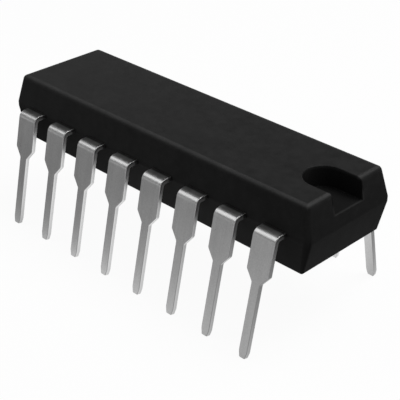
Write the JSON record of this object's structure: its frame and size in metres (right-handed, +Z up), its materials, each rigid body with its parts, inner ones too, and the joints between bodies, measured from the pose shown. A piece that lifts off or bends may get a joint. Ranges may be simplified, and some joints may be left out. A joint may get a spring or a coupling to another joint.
{
  "type": "dual in-line integrated circuit",
  "caption": "Dual in-line integrated circuit: moulded black body with an end notch, two rows of splayed stamped leads, and a bonded die on its pad inside.",
  "frame": {"origin": "centre of the bounding box, on the plane that the lead tips stand on", "axes": "+X along the rows, away from the notch; +Y towards the row of pins 9 to 16; +Z up, out of the top face. Pin 1 is at the -X, -Y corner, and the numbers run anticlockwise seen from above"},
  "size_m": [0.0218, 0.0104, 0.0081],
  "materials": {
    "mould_compound": "moulded black epoxy with a fine matt grain",
    "plated_lead": "satin tin plating over copper alloy, finely streaked along the lead",
    "frame_alloy": "bare rolled copper alloy",
    "silver_adhesive": "silver-filled epoxy",
    "silicon": "polished silicon with a fine pattern of regular blocks",
    "gold_wire": "drawn gold wire"
  },
  "bodies": {
    "root": {"body": "mould_compound", "pin_1": "plated_lead", "pin_2": "plated_lead", "pin_3": "plated_lead", "pin_4": "plated_lead", "pin_5": "plated_lead", "pin_6": "plated_lead", "pin_7": "plated_lead", "pin_8": "plated_lead", "pin_9": "plated_lead", "pin_10": "plated_lead", "pin_11": "plated_lead", "pin_12": "plated_lead", "pin_13": "plated_lead", "pin_14": "plated_lead", "pin_15": "plated_lead", "pin_16": "plated_lead", "die_pad": "frame_alloy", "die_attach": "silver_adhesive", "die": "silicon", "wire_1": "gold_wire", "wire_2": "gold_wire", "wire_3": "gold_wire", "wire_4": "gold_wire", "wire_5": "gold_wire", "wire_6": "gold_wire", "wire_7": "gold_wire", "wire_8": "gold_wire", "wire_9": "gold_wire", "wire_10": "gold_wire", "wire_11": "gold_wire", "wire_12": "gold_wire", "wire_13": "gold_wire", "wire_14": "gold_wire", "wire_15": "gold_wire", "wire_16": "gold_wire"}
  },
  "joints": []
}
